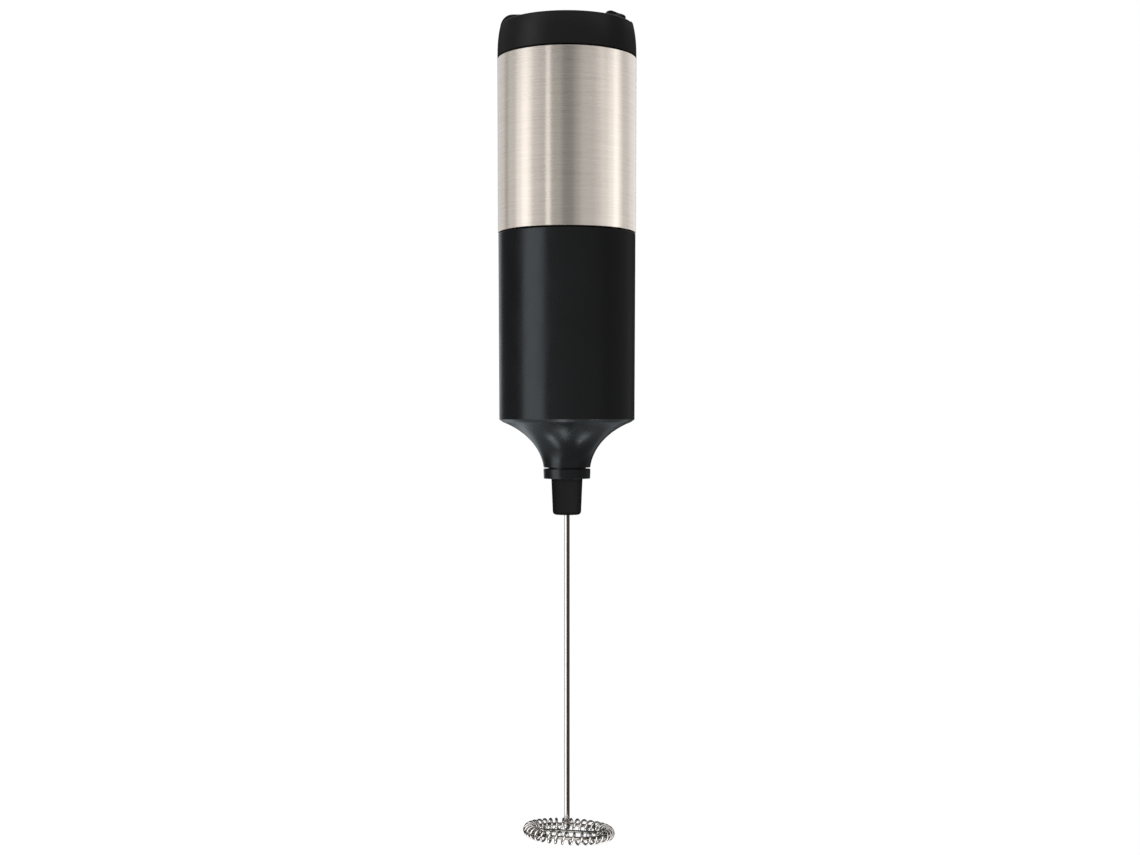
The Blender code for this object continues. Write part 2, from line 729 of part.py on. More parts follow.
def main():
    clear_scene()
    black = material("black_plastic", (0.014, 0.015, 0.016), 0.38)
    cap_black = material("cap_plastic", (0.015, 0.015, 0.015), 0.5)
    inner_black = material("inner_plastic", (0.03, 0.03, 0.032), 0.55)
    brushed = material("brushed_steel", (0.62, 0.58, 0.54), 0.32, 1.0)
    wire_steel = material("polished_steel", (0.66, 0.63, 0.6), 0.18, 1.0)
    sheet_steel = material("plated_steel", (0.6, 0.6, 0.58), 0.35, 1.0)
    bronze = material("sintered_bronze", (0.45, 0.3, 0.15), 0.5, 1.0)
    copper = material("copper", (0.65, 0.3, 0.16), 0.35, 1.0)
    iron = material("laminated_iron", (0.25, 0.25, 0.26), 0.5, 1.0)
    ferrite = material("ferrite", (0.05, 0.05, 0.055), 0.6)
    rubber = material("rubber", (0.02, 0.02, 0.02), 0.75)
    cell_skin = material("cell_wrap", (0.1, 0.16, 0.22), 0.4)
    red = material("red_insulation", (0.5, 0.03, 0.02), 0.5)
    dark = material("dark_insulation", (0.02, 0.02, 0.025), 0.5)

    make_lower_housing(black)
    make_nose_collar(black)
    make_shaft_seal(rubber)
    make_battery_cradle(inner_black)
    make_cell("battery_left", -CELL_X, CELL_UP_Z, True, cell_skin)
    make_cell("battery_right", CELL_X, CELL_DOWN_Z, False, cell_skin)
    make_lower_spring(wire_steel)
    make_lower_plate(sheet_steel)
    make_motor_can(sheet_steel)
    make_motor_end_bell(inner_black)
    make_bushes(bronze)
    make_magnets(ferrite)
    make_brush_arms(copper)
    make_motor_holders(inner_black)
    make_lead_wires(red, dark)

    make_armature_core(iron)
    make_windings(copper)
    make_commutator(copper)
    make_motor_shaft(wire_steel)

    make_whisk_hub(black)
    make_whisk_rod(wire_steel)
    make_whisk_hoop(wire_steel)
    make_whisk_coil(wire_steel)

    make_steel_sleeve(brushed)
    make_sleeve_liner(inner_black)
    make_top_cap(cap_black)
    make_cap_contacts(sheet_steel)
    make_switch_knob(cap_black)
    make_switch_bridge(copper)


main()
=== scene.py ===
"""The looks of a battery milk frother: fine shells, wire whisk, materials, studio and camera.

Lengths in the shape functions are in millimetres; MM turns them into metres. Heights and radii
come from the frame's boxes where the frame has them.
"""

import math

import bmesh
import bpy
from mathutils import Matrix, Vector


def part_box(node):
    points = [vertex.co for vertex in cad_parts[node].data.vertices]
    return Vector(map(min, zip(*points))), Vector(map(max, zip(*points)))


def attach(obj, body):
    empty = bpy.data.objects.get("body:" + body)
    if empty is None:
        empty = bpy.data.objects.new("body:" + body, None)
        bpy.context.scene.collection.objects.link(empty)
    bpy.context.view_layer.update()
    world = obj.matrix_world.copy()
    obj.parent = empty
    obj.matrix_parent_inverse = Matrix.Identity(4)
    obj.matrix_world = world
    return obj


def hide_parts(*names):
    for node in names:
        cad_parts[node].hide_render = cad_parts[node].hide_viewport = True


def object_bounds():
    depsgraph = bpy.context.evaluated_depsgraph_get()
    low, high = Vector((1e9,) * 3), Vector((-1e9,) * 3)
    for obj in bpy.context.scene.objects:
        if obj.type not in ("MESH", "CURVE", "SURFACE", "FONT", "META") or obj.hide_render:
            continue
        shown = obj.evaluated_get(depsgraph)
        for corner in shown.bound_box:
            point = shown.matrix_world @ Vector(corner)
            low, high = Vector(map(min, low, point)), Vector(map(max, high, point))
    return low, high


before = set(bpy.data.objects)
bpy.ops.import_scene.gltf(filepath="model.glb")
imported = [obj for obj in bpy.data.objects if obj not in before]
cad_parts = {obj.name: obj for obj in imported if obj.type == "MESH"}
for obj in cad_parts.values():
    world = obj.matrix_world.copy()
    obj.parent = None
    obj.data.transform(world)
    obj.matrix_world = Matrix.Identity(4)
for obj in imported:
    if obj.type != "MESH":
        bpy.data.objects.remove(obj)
cad_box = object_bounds()

MM = 0.001
ROUND = 192
SMOOTH_DEGREES = 32
WHITE = (1.0, 1.0, 1.0)


def span(node):
    """The lowest and highest corner of a CAD node, in millimetres."""
    low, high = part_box(node)
    return low / MM, high / MM


# Sizes in millimetres: first the frame's boxes, then what the boxes don't say

SLEEVE_LOW, SLEEVE_HIGH = span("steel_sleeve")
HOUSING_LOW, HOUSING_HIGH = span("lower_housing")
COLLAR_LOW, COLLAR_HIGH = span("nose_collar")
HUB_LOW, HUB_HIGH = span("whisk_hub")
ROD_LOW, ROD_HIGH = span("whisk_rod")
CAP_LOW = span("top_cap")[0]
KNOB_LOW, KNOB_HIGH = span("switch_knob")

SHELL_INNER_R = 16.0
SLEEVE_TOP_R = SLEEVE_HIGH.x
SLEEVE_BOTTOM_R = SLEEVE_TOP_R - 0.15
HOUSING_TOP_R = HOUSING_HIGH.x
HOUSING_RIM_R = HOUSING_TOP_R - 0.25
HOUSING_RIM_Z = -48.85
FLARE_CENTRE = Vector((25.6, -62.24))
FLARE_HALF = Vector((19.6, 14.75))
COLLAR_R = COLLAR_HIGH.x
CAP_TOP = 54.1
CAP_TOP_R = 17.4
CAP_ROOF = 52.4
CAP_ROUND = 160
RAIL_TOP = 56.2
RAIL_ROOF = 54.7
RAIL_HALF_WIDTH = 4.3
RAIL_REACH = 19.0
RAIL_SLOPE_START = 14.4
TRACK_FLOOR = 55.5
ABOVE_CAP = 59.0
SWITCH_TRAVEL = 4.5
STEM_X = 12.6
STEM_FOOT_Z = (53.7, 54.4)
HUB_R = HUB_HIGH.x
HUB_END_R = HUB_R - 0.36
ROD_R = ROD_HIGH.x
HUB_CAVITY_R = 1.3
RING_CENTRE = Vector((0.5, 0.0, -155.7))
RING_TILT_X = -3.5
RING_TILT_Y = 2.8
RING_R = 10.2
COIL_R = 1.45
COIL_WIRE_R = 0.28
COIL_TURNS = 34
COIL_POINTS_PER_TURN = 36
COIL_SIDES = 10
HOOP_WIRE_R = 0.45
BAR_R = 0.4
CELL_EDGE = 0.5
CELL_BUTTON_R = 2.75
CELL_BUTTON_HEIGHT = 1.2

CAMERA_DISTANCE = 439.0
CAMERA_SIDE = 0.8
CAMERA_HEIGHT = -50.5
CAMERA_LENS = 53.2


# Mesh tools


def place(name, bm, smooth_degrees=SMOOTH_DEGREES):
    """Turns a bmesh drawn in millimetres into a named object in metres."""
    bmesh.ops.remove_doubles(bm, verts=bm.verts, dist=1e-4)
    bmesh.ops.recalc_face_normals(bm, faces=bm.faces)
    bm.transform(Matrix.Scale(MM, 4))
    mesh = bpy.data.meshes.new(name)
    bm.to_mesh(mesh)
    bm.free()
    mesh.shade_smooth()
    mesh.set_sharp_from_angle(angle=math.radians(smooth_degrees))
    made = bpy.data.objects.new(name, mesh)
    bpy.context.scene.collection.objects.link(made)
    return made


def arc(centre, radii, start, end, steps):
    """Points along an upright ellipse from one angle to another, in degrees."""
    points = []
    for i in range(steps + 1):
        angle = math.radians(start + (end - start) * i / steps)
        across, up = radii[0] * math.cos(angle), radii[1] * math.sin(angle)
        points.append((centre[0] + across, centre[1] + up))
    return points


def lathe(name, outline, segments=ROUND):
    """A closed outline of (radius, height) turned about the handle's axis."""
    bm = bmesh.new()
    verts = [bm.verts.new((r, 0.0, z)) for r, z in outline]
    edges = [bm.edges.new((a, b)) for a, b in zip(verts, verts[1:] + verts[:1])]
    bmesh.ops.spin(
        bm, geom=verts + edges, cent=(0.0, 0.0, 0.0), axis=(0.0, 0.0, 1.0),
        angle=math.tau, steps=segments,
    )
    return place(name, bm)


def extrude(name, outline, low, high):
    """An XZ outline pushed along Y from low to high."""
    bm = bmesh.new()
    verts = [bm.verts.new((x, low, z)) for x, z in outline]
    made = bmesh.ops.extrude_face_region(bm, geom=[bm.faces.new(verts)])
    moved = [item for item in made["geom"] if isinstance(item, bmesh.types.BMVert)]
    bmesh.ops.translate(bm, verts=moved, vec=(0.0, high - low, 0.0))
    return place(name, bm)


def slab(name, low, high):
    """A box between two corners, as a tool for cutting or joining."""
    outline = [(low[0], low[2]), (high[0], low[2]), (high[0], high[2]), (low[0], high[2])]
    return extrude(name, outline, low[1], high[1])


def settle(target):
    """Turns an object's modifiers into its mesh."""
    bpy.context.view_layer.update()
    depsgraph = bpy.context.evaluated_depsgraph_get()
    mesh = bpy.data.meshes.new_from_object(target.evaluated_get(depsgraph))
    target.modifiers.clear()
    target.data = mesh
    return target


def combine(target, tool, operation):
    """Adds, removes or keeps a tool's volume for good, and removes the tool."""
    change = target.modifiers.new(operation, "BOOLEAN")
    change.operation = operation
    change.object = tool
    settle(target)
    bpy.data.objects.remove(tool)
    return target


def round_edges(target, width, segments=3, degrees=35):
    """Rounds every edge that is sharper than an angle, by a width in millimetres."""
    change = target.modifiers.new("edges", "BEVEL")
    change.width = width * MM
    change.segments = segments
    change.limit_method = "ANGLE"
    change.angle_limit = math.radians(degrees)
    settle(target)
    target.data.shade_smooth()
    target.data.set_sharp_from_angle(angle=math.radians(SMOOTH_DEGREES))
    return target


def closed_tube(name, points, radius, sides):
    """A round wire along a loop of points, each with the two directions across the wire."""
    bm = bmesh.new()
    loops = []
    for centre, out, side in points:
        loop = []
        for j in range(sides):
            angle = math.tau * j / sides
            away = out * math.cos(angle) + side * math.sin(angle)
            loop.append(bm.verts.new(centre + away * radius))
        loops.append(loop)
    for this, after in zip(loops, loops[1:] + loops[:1]):
        for j in range(sides):
            k = (j + 1) % sides
            bm.faces.new((this[j], this[k], after[k], after[j]))
    return place(name, bm, 50)


def ring_matrix():
    """From the whisk ring's own frame, in which it lies flat round the origin, to its place."""
    tilt_y = Matrix.Rotation(math.radians(RING_TILT_Y), 4, "Y")
    tilt_x = Matrix.Rotation(math.radians(RING_TILT_X), 4, "X")
    return Matrix.Translation(RING_CENTRE * MM) @ tilt_y @ tilt_x


def dress(piece, body, surface, slot, *nodes):
    """Gives a piece its material and its body, and hides the CAD nodes that it stands for; the slot
    argument is not used.
    """
    piece.data.materials.clear()
    piece.data.materials.append(surface)
    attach(piece, body)
    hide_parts(*nodes)
    return piece


# Materials

EVEN = (1.0, 1.0, 1.0)
ALONG_Z = (1.0, 1.0, 0.02)


class Surface:
    """A Principled material with object coordinates at hand, for building node by node."""

    def __init__(self, name, colour, roughness, metallic=0.0):
        self.made = bpy.data.materials.new(name)
        self.made.use_nodes = True
        self.nodes = self.made.node_tree.nodes
        self.links = self.made.node_tree.links
        self.shader = self.nodes["Principled BSDF"]
        self.shader.inputs["Base Color"].default_value = (*colour, 1.0)
        self.shader.inputs["Roughness"].default_value = roughness
        self.shader.inputs["Metallic"].default_value = metallic
        self.made.diffuse_color = (*colour, 1.0)
        self.coordinates = self.nodes.new("ShaderNodeTexCoord").outputs["Object"]

    def noise(self, scale, detail=3.0, stretch=EVEN):
        """A noise value; stretch multiplies how often it repeats along each axis."""
        mapping = self.nodes.new("ShaderNodeMapping")
        mapping.inputs["Scale"].default_value = stretch
        texture = self.nodes.new("ShaderNodeTexNoise")
        texture.inputs["Scale"].default_value = scale
        texture.inputs["Detail"].default_value = detail
        self.links.new(self.coordinates, mapping.inputs["Vector"])
        self.links.new(mapping.outputs["Vector"], texture.inputs["Vector"])
        return texture.outputs["Fac"]

    def scaled(self, value, low, high):
        """Spreads a value's middle range, 0.3 to 0.7, over low to high."""
        change = self.nodes.new("ShaderNodeMapRange")
        change.inputs["From Min"].default_value = 0.3
        change.inputs["From Max"].default_value = 0.7
        change.inputs["To Min"].default_value = low
        change.inputs["To Max"].default_value = high
        self.links.new(value, change.inputs["Value"])
        return change.outputs["Result"]

    def blended(self, value, first, second):
        """A colour between two, as a value goes from 0 to 1."""
        mix = self.nodes.new("ShaderNodeMix")
        mix.data_type = "RGBA"
        mix.inputs["A"].default_value = (*first, 1.0)
        mix.inputs["B"].default_value = (*second, 1.0)
        self.links.new(value, mix.inputs["Factor"])
        return mix.outputs["Result"]

    def darkened(self, colour, value, amount):
        """A colour times a value, by an amount from 0 to 1."""
        mix = self.nodes.new("ShaderNodeMix")
        mix.data_type = "RGBA"
        mix.blend_type = "MULTIPLY"
        mix.inputs["Factor"].default_value = amount
        self.links.new(colour, mix.inputs["A"])
        self.links.new(value, mix.inputs["B"])
        return mix.outputs["Result"]

    def stepped(self, value, stops):
        """A colour that changes in steps; each stop is where the step starts, and its colour."""
        ramp = self.nodes.new("ShaderNodeValToRGB")
        ramp.color_ramp.interpolation = "CONSTANT"
        points = ramp.color_ramp.elements
        for index, (start, colour) in enumerate(stops):
            stop = points[index] if index < 2 else points.new(start)
            stop.position = start
            stop.color = (*colour, 1.0)
        self.links.new(value, ramp.inputs["Fac"])
        return ramp.outputs["Color"]

    def height_between(self, low, high):
        """0 at one height and 1 at another, both in millimetres."""
        separate = self.nodes.new("ShaderNodeSeparateXYZ")
        self.links.new(self.coordinates, separate.inputs["Vector"])
        height = self.nodes.new("ShaderNodeMapRange")
        height.inputs["From Min"].default_value = low * MM
        height.inputs["From Max"].default_value = high * MM
        self.links.new(separate.outputs["Z"], height.inputs["Value"])
        return height.outputs["Result"]

    def weighed(self, first, first_weight, second, second_weight):
        """The sum of two values, each times its weight."""
        scaled = self.nodes.new("ShaderNodeMath")
        scaled.operation = "MULTIPLY"
        scaled.inputs[1].default_value = second_weight
        self.links.new(second, scaled.inputs[0])
        total = self.nodes.new("ShaderNodeMath")
        total.operation = "MULTIPLY_ADD"
        total.inputs[1].default_value = first_weight
        self.links.new(first, total.inputs[0])
        self.links.new(scaled.outputs[0], total.inputs[2])
        return total.outputs[0]

    def set(self, socket, value):
        """Drives one of the shader's inputs by a value."""
        self.links.new(value, self.shader.inputs[socket])

    def bump(self, value, height, strength=1.0, under=None):
        """Relief of a height in millimetres."""
        made = self.nodes.new("ShaderNodeBump")
        made.inputs["Strength"].default_value = strength
        made.inputs["Distance"].default_value = height * MM
        self.links.new(value, made.inputs["Height"])
        if under is not None:
            self.links.new(under, made.inputs["Normal"])
        return made.outputs["Normal"]


def moulded_plastic(name, light, dark, roughness, grain_height, specular):
    """Black plastic: a fine moulded grain, faint handling marks and uneven tone."""
    made = Surface(name, light, roughness)
    cloud = made.noise(90.0, 4.0)
    made.set("Base Color", made.blended(made.scaled(cloud, 0.0, 1.0), dark, light))
    smear = made.noise(240.0, 5.0, (1.0, 1.0, 0.4))
    made.set("Roughness", made.scaled(smear, roughness - 0.05, roughness + 0.05))
    grain = made.bump(made.noise(5200.0, 2.0), grain_height)
    made.set("Normal", made.bump(made.noise(320.0, 2.0), 0.006, 0.5, grain))
    made.shader.inputs["Specular IOR Level"].default_value = specular
    return made.made


def brushed_steel(name):
    """Stainless steel brushed round the sleeve: long fine lines that follow the circle."""
    made = Surface(name, (0.63, 0.575, 0.52), 0.28, 1.0)
    broad = made.noise(1.0, 2.0, (60.0, 60.0, 1800.0))
    middle = made.noise(1.0, 2.0, (90.0, 90.0, 4000.0))
    fine = made.noise(1.0, 2.0, (200.0, 200.0, 9000.0))
    lines = made.weighed(made.weighed(broad, 0.12, middle, 0.6), 1.0, fine, 0.28)
    streaks = made.scaled(lines, 0.0, 1.0)
    made.set("Base Color", made.blended(streaks, (0.585, 0.53, 0.476), (0.71, 0.648, 0.588)))
    made.set("Roughness", made.scaled(lines, 0.26, 0.3))
    made.set("Normal", made.bump(lines, 0.0003, 0.5))
    made.shader.inputs["Anisotropic"].default_value = 0.88
    made.shader.inputs["Anisotropic Rotation"].default_value = 0.25
    tangent = made.nodes.new("ShaderNodeTangent")
    tangent.direction_type = "RADIAL"
    tangent.axis = "Z"
    made.links.new(tangent.outputs["Tangent"], made.shader.inputs["Tangent"])
    return made.made


def drawn_steel(name, colour, roughness, stretch=ALONG_Z):
    """Polished wire with faint drawing lines along it and a little uneven dullness."""
    made = Surface(name, colour, roughness, 1.0)
    lines = made.noise(7000.0, 2.0, stretch)
    cloud = made.noise(500.0, 3.0)
    dull = tuple(0.93 * part for part in colour)
    made.set("Base Color", made.blended(made.scaled(cloud, 0.0, 1.0), dull, colour))
    made.set("Roughness", made.scaled(cloud, roughness - 0.03, roughness + 0.04))
    made.set("Normal", made.bump(lines, 0.0006, 0.5))
    return made.made


def sheet_metal(name, colour, roughness):
    """Rolled, plated sheet with fine lines and blotchy plating."""
    made = Surface(name, colour, roughness, 1.0)
    lines = made.noise(600.0, 3.0, (1.0, 8.0, 1.0))
    blotch = made.noise(260.0, 4.0)
    darker = tuple(0.75 * part for part in colour)
    made.set("Base Color", made.blended(made.scaled(blotch, 0.0, 1.0), darker, colour))
    made.set("Roughness", made.scaled(lines, roughness - 0.08, roughness + 0.1))
    made.set("Normal", made.bump(lines, 0.004, 0.4))
    return made.made


def wound_copper(name):
    """Enamelled wire lying in fine turns."""
    made = Surface(name, (0.6, 0.24, 0.1), 0.3, 1.0)
    turns = made.nodes.new("ShaderNodeTexWave")
    turns.inputs["Scale"].default_value = 1100.0
    turns.inputs["Distortion"].default_value = 0.4
    made.links.new(made.coordinates, turns.inputs["Vector"])
    made.set("Base Color", made.blended(turns.outputs["Fac"], (0.35, 0.11, 0.04), (0.72, 0.32, 0.14)))
    made.set("Roughness", made.scaled(made.noise(700.0), 0.22, 0.4))
    made.set("Normal", made.bump(turns.outputs["Fac"], 0.06, 0.7))
    return made.made


def sintered(name, colour, roughness, metallic):
    """Pressed powder: bronze bushes, ferrite magnets and the iron core."""
    made = Surface(name, colour, roughness, metallic)
    pores = made.noise(2600.0, 5.0)
    darker = tuple(0.55 * part for part in colour)
    made.set("Base Color", made.blended(made.scaled(pores, 0.0, 1.0), darker, colour))
    made.set("Roughness", made.scaled(pores, roughness + 0.12, roughness - 0.05))
    made.set("Normal", made.bump(pores, 0.02, 0.5))
    return made.made


def soft_plastic(name, colour, roughness):
    """Insulation and rubber: a slight bloom and shallow flow marks."""
    made = Surface(name, colour, roughness)
    bloom = made.noise(800.0, 4.0)
    paler = tuple(min(1.0, 1.5 * part + 0.01) for part in colour)
    made.set("Base Color", made.blended(made.scaled(bloom, 0.0, 1.0), colour, paler))
    made.set("Roughness", made.scaled(bloom, roughness - 0.06, roughness + 0.08))
    made.set("Normal", made.bump(bloom, 0.006, 0.4))
    return made.made


def cell_wrap(name, button_end, flat_end):
    """A plain printed wrap with a coloured band near the button, and bare metal at both ends."""
    dark = (0.03, 0.035, 0.04)
    bare = (0.62, 0.61, 0.58)
    band = (0.5, 0.27, 0.06)
    black = (0.0, 0.0, 0.0)
    wrap_start, band_start, wrap_end = 0.018, 0.72, 0.958
    made = Surface(name, dark, 0.28)
    height = made.height_between(flat_end, button_end)
    colours = [(0.0, bare), (wrap_start, dark), (band_start, band), (wrap_end, bare)]
    scuff = made.scaled(made.noise(500.0, 5.0), 0.0, 1.0)
    made.set("Base Color", made.darkened(made.stepped(height, colours), scuff, 0.15))
    metal = [(0.0, WHITE), (wrap_start, black), (wrap_end, WHITE)]
    made.set("Metallic", made.stepped(height, metal))
    made.set("Roughness", made.scaled(made.noise(300.0, 4.0), 0.2, 0.36))
    made.set("Normal", made.bump(made.noise(900.0, 3.0), 0.004, 0.3))
    return made.made


# Handle


def flare_outline(start_turn, end_z, steps):
    """The hollow curve of the flare, from its wide end down to a height."""
    end_turn = math.degrees(math.asin((end_z - FLARE_CENTRE.y) / FLARE_HALF.y))
    points = []
    for i in range(steps + 1):
        turn = math.radians(start_turn + (end_turn - start_turn) * i / steps)
        points.append((
            FLARE_CENTRE.x - FLARE_HALF.x * math.cos(turn),
            FLARE_CENTRE.y + FLARE_HALF.y * math.sin(turn),
        ))
    return points


def between(first, second, part):
    """The point that is a part of the way from one point to another."""
    return tuple(a + (b - a) * part for a, b in zip(first, second))


def housing_inside(bottom, top):
    """The hollow side of the housing: the collar's seat, the shaft's throat, and the wall."""
    seat_r, seat_top = 5.2, -57.6
    throat_r, throat_top = 4.5, -54.6
    return [
        (seat_r, bottom), (seat_r, seat_top), (throat_r, seat_top), (throat_r, throat_top),
        (7.2, throat_top), (10.5, -51.5), (SHELL_INNER_R, -46.9), (SHELL_INNER_R, top),
    ]


def make_housing():
    """The lower half of the handle: a straight wall, a bevelled rim, and a flare to the neck."""
    edge = 0.25
    rim_edge = 0.15
    rim_start = 0.5
    bottom, top = HOUSING_LOW.z, HOUSING_HIGH.z
    top_edge = arc((HOUSING_TOP_R - edge, top - edge), (edge, edge), 90, 0, 5)
    rim_centre = (HOUSING_RIM_R - rim_edge, HOUSING_RIM_Z + rim_start)
    rim = arc(rim_centre, (rim_edge, rim_edge), 0, -45, 6)
    flare = flare_outline(62.5, bottom + 0.2, 40)
    bevel = [between(rim[-1], flare[0], part) for part in (0.06, 0.5, 0.94)]
    neck_edge = [(flare[-1][0] - 0.02, bottom + 0.08), (flare[-1][0] - 0.12, bottom)]
    outside = [*top_edge, *rim, *bevel, *flare, *neck_edge]
    return lathe("handle_housing", [*outside, *housing_inside(bottom, top)])


def make_collar():
    """The ring below the flare, with a neck that stands up inside the housing."""
    edge, low_edge = 0.22, 0.15
    taper = 0.07
    bore_r, neck_r = 4.4, 4.9
    groove = 0.3
    low, high = COLLAR_LOW.z, HOUSING_LOW.z - groove
    neck = [(bore_r, COLLAR_HIGH.z), (neck_r, COLLAR_HIGH.z), (neck_r, high)]
    top = arc((COLLAR_R - edge, high - edge), (edge, edge), 90, 0, 5)
    bottom_centre = (COLLAR_R - taper - low_edge, low + low_edge)
    bottom = arc(bottom_centre, (low_edge, low_edge), 0, -90, 4)
    return lathe("neck_collar", [*neck, *top, *bottom, (bore_r, low)], 128)


def make_sleeve():
    """The brushed steel tube, a little narrower at the bottom."""
    edge = 0.16
    wall = 0.5
    low, high = SLEEVE_LOW.z, SLEEVE_HIGH.z
    top = arc((SLEEVE_TOP_R - edge, high - edge), (edge, edge), 90, 0, 4)
    bottom = arc((SLEEVE_BOTTOM_R - edge, low + edge), (edge, edge), 0, -90, 4)
    inner = SLEEVE_BOTTOM_R - wall
    return lathe("brushed_sleeve", [(inner, high), *top, *bottom, (inner, low)], 256)


# Cap and switch


def cap_side(low, high):
    """The cap's outer wall from its top down: upright at the sleeve, and drawn in at the top."""
    narrowing = SLEEVE_TOP_R - CAP_TOP_R
    steps = 12
    points = []
    for i in range(steps, -1, -1):
        part = i / steps
        points.append((SLEEVE_TOP_R - narrowing * part ** 2.6, low + (high - low) * part))
    return points


def make_cap():
    """The end cap: a turned shell with a rail across it, then the hollow, track and slot cut out."""
    bottom = CAP_LOW.z
    rim_edge = 0.5
    foot = 0.12
    rim = arc((CAP_TOP_R - rim_edge, CAP_TOP - rim_edge), (rim_edge, rim_edge), 90, 10, 7)
    side = cap_side(bottom + foot, CAP_TOP - rim_edge)
    outside = [(0.0, CAP_TOP), *rim, *side, (SLEEVE_TOP_R - foot, bottom)]
    inside = [(SHELL_INNER_R, bottom), (SHELL_INNER_R, CAP_ROOF), (0.0, CAP_ROOF)]
    cap = lathe("end_cap", [*outside, *inside], CAP_ROUND)
    combine(cap, make_rail(), "UNION")
    cut_hollow(cap)
    cut_track(cap)
    cut_slot(cap)
    return round_edges(cap, 0.1, 2, 50)


def cut_hollow(cap):
    """Room under the rail for the switch's strips."""
    half_width = 2.9
    low, high = (-13.0, -half_width, CAP_ROOF - 1.0), (15.0, half_width, RAIL_ROOF)
    combine(cap, slab("tool_hollow", low, high), "DIFFERENCE")


def cut_track(cap):
    """The trough in the rail that the knob slides in."""
    half_width = 2.6
    low, high = (5.0, -half_width, TRACK_FLOOR), (RAIL_REACH, half_width, ABOVE_CAP)
    track = slab("tool_track", low, high)
    round_edges(track, 0.3)
    combine(cap, track, "DIFFERENCE")


def cut_slot(cap):
    """The slot in the track's floor that lets the knob's stem through and along."""
    reach, half_width = 1.3, 1.2
    low = (STEM_X - reach - SWITCH_TRAVEL, -half_width, RAIL_ROOF - 0.7)
    high = (STEM_X + reach, half_width, ABOVE_CAP)
    combine(cap, slab("tool_slot", low, high), "DIFFERENCE")


def make_rail():
    """A bar with soft edges that rounds over at its ends and slopes down behind the knob."""
    low = CAP_TOP - 0.9
    bar_low, bar_high = (-RAIL_REACH, -RAIL_HALF_WIDTH, low), (RAIL_REACH, RAIL_HALF_WIDTH, RAIL_TOP)
    bar = slab("tool_bar", bar_low, bar_high)
    round_edges(bar, 0.5, 5)
    combine(bar, make_rail_dome(low - 0.1), "INTERSECT")
    start = RAIL_SLOPE_START
    run, fall = 2.2, 1.95
    past = RAIL_REACH + 1.0
    slope = arc((start + run, RAIL_TOP), (run, fall), 180, 270, 10)
    outline = [(start, ABOVE_CAP), *slope, (past, RAIL_TOP - 2.6), (past, ABOVE_CAP)]
    return combine(bar, extrude("tool_slope", outline, -6.0, 6.0), "DIFFERENCE")


def make_rail_dome(low):
    """The turned shape that the rail's ends are cut to."""
    end_r = CAP_TOP_R - 0.07
    shoulder_r, shoulder_h = 3.2, 2.5
    centre = (end_r - shoulder_r, RAIL_TOP - shoulder_h)
    shoulder = arc(centre, (shoulder_r, shoulder_h), 90, 0, 20)
    outline = [(0.0, RAIL_TOP + 0.01), *shoulder, (end_r, low), (0.0, low)]
    return lathe("tool_dome", outline, CAP_ROUND)


def make_knob():
    """The thumb piece: a rounded ridge at its inner end, then a sloping back."""
    left, right = KNOB_LOW.x, KNOB_HIGH.x
    base, top = TRACK_FLOOR + 0.3, KNOB_HIGH.z
    half_width = 2.3
    ridge_r, ridge_h = 1.3, 0.9
    back_r, back_drop = 2.3, 0.75
    ridge = arc((left + ridge_r, top - ridge_h), (ridge_r, ridge_h), 175, 60, 14)
    back = arc((right - back_r, base), (back_r, top - back_drop - base), 75, 10, 12)
    outline = [(left, base), *ridge, *back, (right, base)]
    knob = extrude("switch_thumb_piece", outline, -half_width, half_width)
    round_edges(knob, 0.3, 4, 40)
    foot_low, foot_high = STEM_FOOT_Z
    combine(knob, post("tool_stem", 1.0, 0.9, foot_low + 0.3, base + 0.2), "UNION")
    combine(knob, post("tool_foot", 1.8, 2.2, foot_low, foot_high), "UNION")
    return knob


def post(name, reach, half_width, low, high):
    """A block round the stem's line, which goes down through the slot."""
    return slab(name, (STEM_X - reach, -half_width, low), (STEM_X + reach, half_width, high))


# Whisk


def make_hub():
    """The plug that holds the rod: straight inside the collar, and tapered below it."""
    low, high = HUB_LOW.z, HUB_HIGH.z
    edge, top_edge = 0.9, 0.3
    lead_in = 0.25
    taper_start = COLLAR_LOW.z - 0.2
    bore = ROD_R + 0.06
    corner = arc((HUB_END_R - edge, low + edge), (edge, edge), 0, -90, 10)
    top = arc((HUB_R - top_edge, high - top_edge), (top_edge, top_edge), 90, 0, 4)
    outside = [(HUB_CAVITY_R, high), *top, (HUB_R, taper_start), *corner, (bore + lead_in, low)]
    inside = [(bore, low + lead_in), (bore, ROD_HIGH.z + 0.1), (HUB_CAVITY_R, ROD_HIGH.z + 0.4)]
    return lathe("whisk_plug", [*outside, *inside], 96)


def make_rod():
    """The long rod, with the pinched, welded end that holds the ring's bar."""
    low, high = ROD_LOW.z, ROD_HIGH.z
    edge = 0.15
    weld_top = low + 1.4
    wire = [(0.0, high), (ROD_R - edge, high), (ROD_R, high - edge), (ROD_R, weld_top)]
    bead = arc((ROD_R - 0.25, low + 0.65), (0.42, 0.75), 80, -75, 10)
    return lathe("whisk_stem", [*wire, *bead, (0.0, low - 0.1)], 48)


def unevenness(around):
    """How far, in radians, a hand-wound coil's turns run ahead at a place on the ring."""
    slow = 0.5 * math.sin(3 * around + 0.7)
    middle = 0.35 * math.sin(8 * around + 2.1)
    quick = 0.2 * math.sin(13 * around)
    return slow + middle + quick


